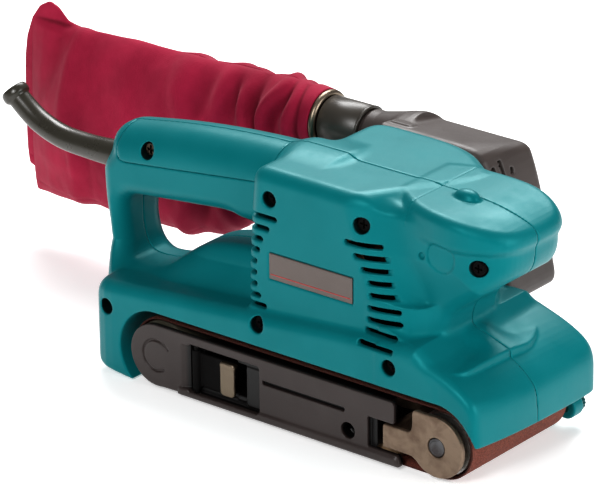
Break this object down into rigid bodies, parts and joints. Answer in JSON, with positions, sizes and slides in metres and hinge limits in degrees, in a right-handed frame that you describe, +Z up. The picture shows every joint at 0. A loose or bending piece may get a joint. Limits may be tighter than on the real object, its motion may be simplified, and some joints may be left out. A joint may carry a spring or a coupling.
{
  "type": "handheld belt sander",
  "caption": "Handheld belt sander with D-shaped rear handle, rounded front grip, side dust nozzle and cloth dust bag; rollers, lever, trigger and bag mount move.",
  "frame": {"origin": "on the underside of the sanding belt, midway between the front and rear roller axles and at the middle of the belt's width", "axes": "+X towards the nose, +Y towards the dust-nozzle side, +Z up"},
  "size_m": [0.3912, 0.142, 0.134],
  "materials": {
    "teal_housing": "satin moulded plastic, deep teal, fine spark-eroded grain, soft sheen on the rounded edges",
    "charcoal_plastic": "matt moulded plastic, warm brown-black, slightly shiny on the outlet tube",
    "black_frame": "semi-matt black enamel on die-cast metal, rubbed at the edges",
    "steel": "bare steel, lightly brushed, dulled to a warm grey",
    "dark_steel": "blackened steel",
    "idler_aluminium": "turned aluminium",
    "copper_alloy": "bare copper and brass",
    "drive_rubber": "matt dark grey-olive rubber",
    "abrasive_cloth": "resin-bonded abrasive grain on cloth, red-brown, gritty",
    "cork_pad": "compressed cork and graphite cloth",
    "label_plate": "satin grey foil plate with a thin red rule, blank",
    "carbon": "pressed carbon, matt black",
    "bag_cloth": "crimson cotton-polyester filter cloth, plain weave, soft creases"
  },
  "bodies": {
    "root": {"housing_right": "teal_housing", "housing_left": "teal_housing", "handle_cover": "teal_housing", "screw_skirt_rear": "dark_steel", "screw_skirt_mid": "dark_steel", "screw_skirt_front": "dark_steel", "screw_body_rear": "dark_steel", "screw_body_front": "dark_steel", "screw_grip": "dark_steel", "screw_handle_cover": "dark_steel", "name_plate": "label_plate", "belt_frame": "black_frame", "platen_pad": "cork_pad", "platen": "steel", "abrasive_belt": "abrasive_cloth", "drive_bearing": "steel", "lever_pin": "dark_steel", "tension_spring": "dark_steel", "stator": "dark_steel", "bearing_outer": "steel", "bearing_inner": "steel", "brush_holder_upper": "copper_alloy", "brush_holder_lower": "copper_alloy", "carbon_brush_upper": "carbon", "carbon_brush_lower": "carbon", "timing_belt": "drive_rubber", "drive_cover": "teal_housing", "screw_drive_cover_1": "dark_steel", "screw_drive_cover_2": "dark_steel", "screw_nozzle_rear": "dark_steel", "screw_nozzle_front": "dark_steel", "switch_body": "charcoal_plastic", "trigger_pin": "dark_steel", "dust_nozzle": "charcoal_plastic", "cord_guard": "drive_rubber", "cord_clamp": "charcoal_plastic"},
    "motor_rotor": {"armature": "steel", "commutator": "copper_alloy", "fan": "charcoal_plastic", "motor_pulley": "dark_steel"},
    "drive_roller_body": {"drive_roller": "drive_rubber", "drive_shaft": "steel", "driven_pulley": "dark_steel"},
    "tension_slide": {"front_bracket": "steel", "front_axle": "steel"},
    "idler": {"front_roller": "idler_aluminium"},
    "lever": {"release_lever": "steel"},
    "trigger_body": {"trigger": "charcoal_plastic"},
    "lock_body": {"lock_button": "charcoal_plastic"},
    "knob": {"tracking_knob": "charcoal_plastic"},
    "bag": {"bag_collar": "charcoal_plastic", "bag_ring": "steel", "dust_bag": "bag_cloth"}
  },
  "joints": [
    {"name": "tension_slide", "type": "slide", "parent": "root", "child": "tension_slide", "axis": [-1, 0, 0], "range_m": [0, 0.005]},
    {"name": "release_lever", "type": "hinge", "parent": "root", "child": "lever", "pos_m": [-0.062, -0.0416, 0.018], "axis": [0, 0, -1], "range_deg": [0, 75]},
    {"name": "motor_spin", "type": "hinge", "parent": "root", "child": "motor_rotor", "pos_m": [0.013, 0, 0.086], "axis": [0, 1, 0], "continuous": true},
    {"name": "drive_spin", "type": "hinge", "parent": "root", "child": "drive_roller_body", "pos_m": [-0.087, 0, 0.018], "axis": [0, 1, 0], "continuous": true},
    {"name": "idler_spin", "type": "hinge", "parent": "tension_slide", "child": "idler", "pos_m": [0.087, 0, 0.018], "axis": [0, 1, 0], "continuous": true},
    {"name": "trigger_pull", "type": "hinge", "parent": "root", "child": "trigger_body", "pos_m": [-0.044, 0, 0.0945], "axis": [0, 1, 0], "range_deg": [0, 7], "stiffness_Nm_per_rad": 0.6, "springref_deg": -2.86},
    {"name": "lock_press", "type": "slide", "parent": "root", "child": "lock_body", "axis": [0, -1, 0], "range_m": [0, 0.0025], "stiffness_N_per_m": 300, "springref_m": -0.002},
    {"name": "tracking_turn", "type": "hinge", "parent": "root", "child": "knob", "pos_m": [0.1005, 0.05, 0.0115], "axis": [0, 1, 0], "range_deg": [-180, 180]},
    {"name": "bag_swivel", "type": "hinge", "parent": "root", "child": "bag", "pos_m": [-0.07, 0.074, 0.111], "axis": [1, 0, 0], "range_deg": [0, 60]}
  ],
  "couplings": [
    {"joint": "release_lever", "follows": "tension_slide", "rad_per_m": 261.7},
    {"joint": "drive_spin", "follows": "motor_spin", "ratio": 0.48},
    {"joint": "idler_spin", "follows": "motor_spin", "ratio": 0.48}
  ]
}
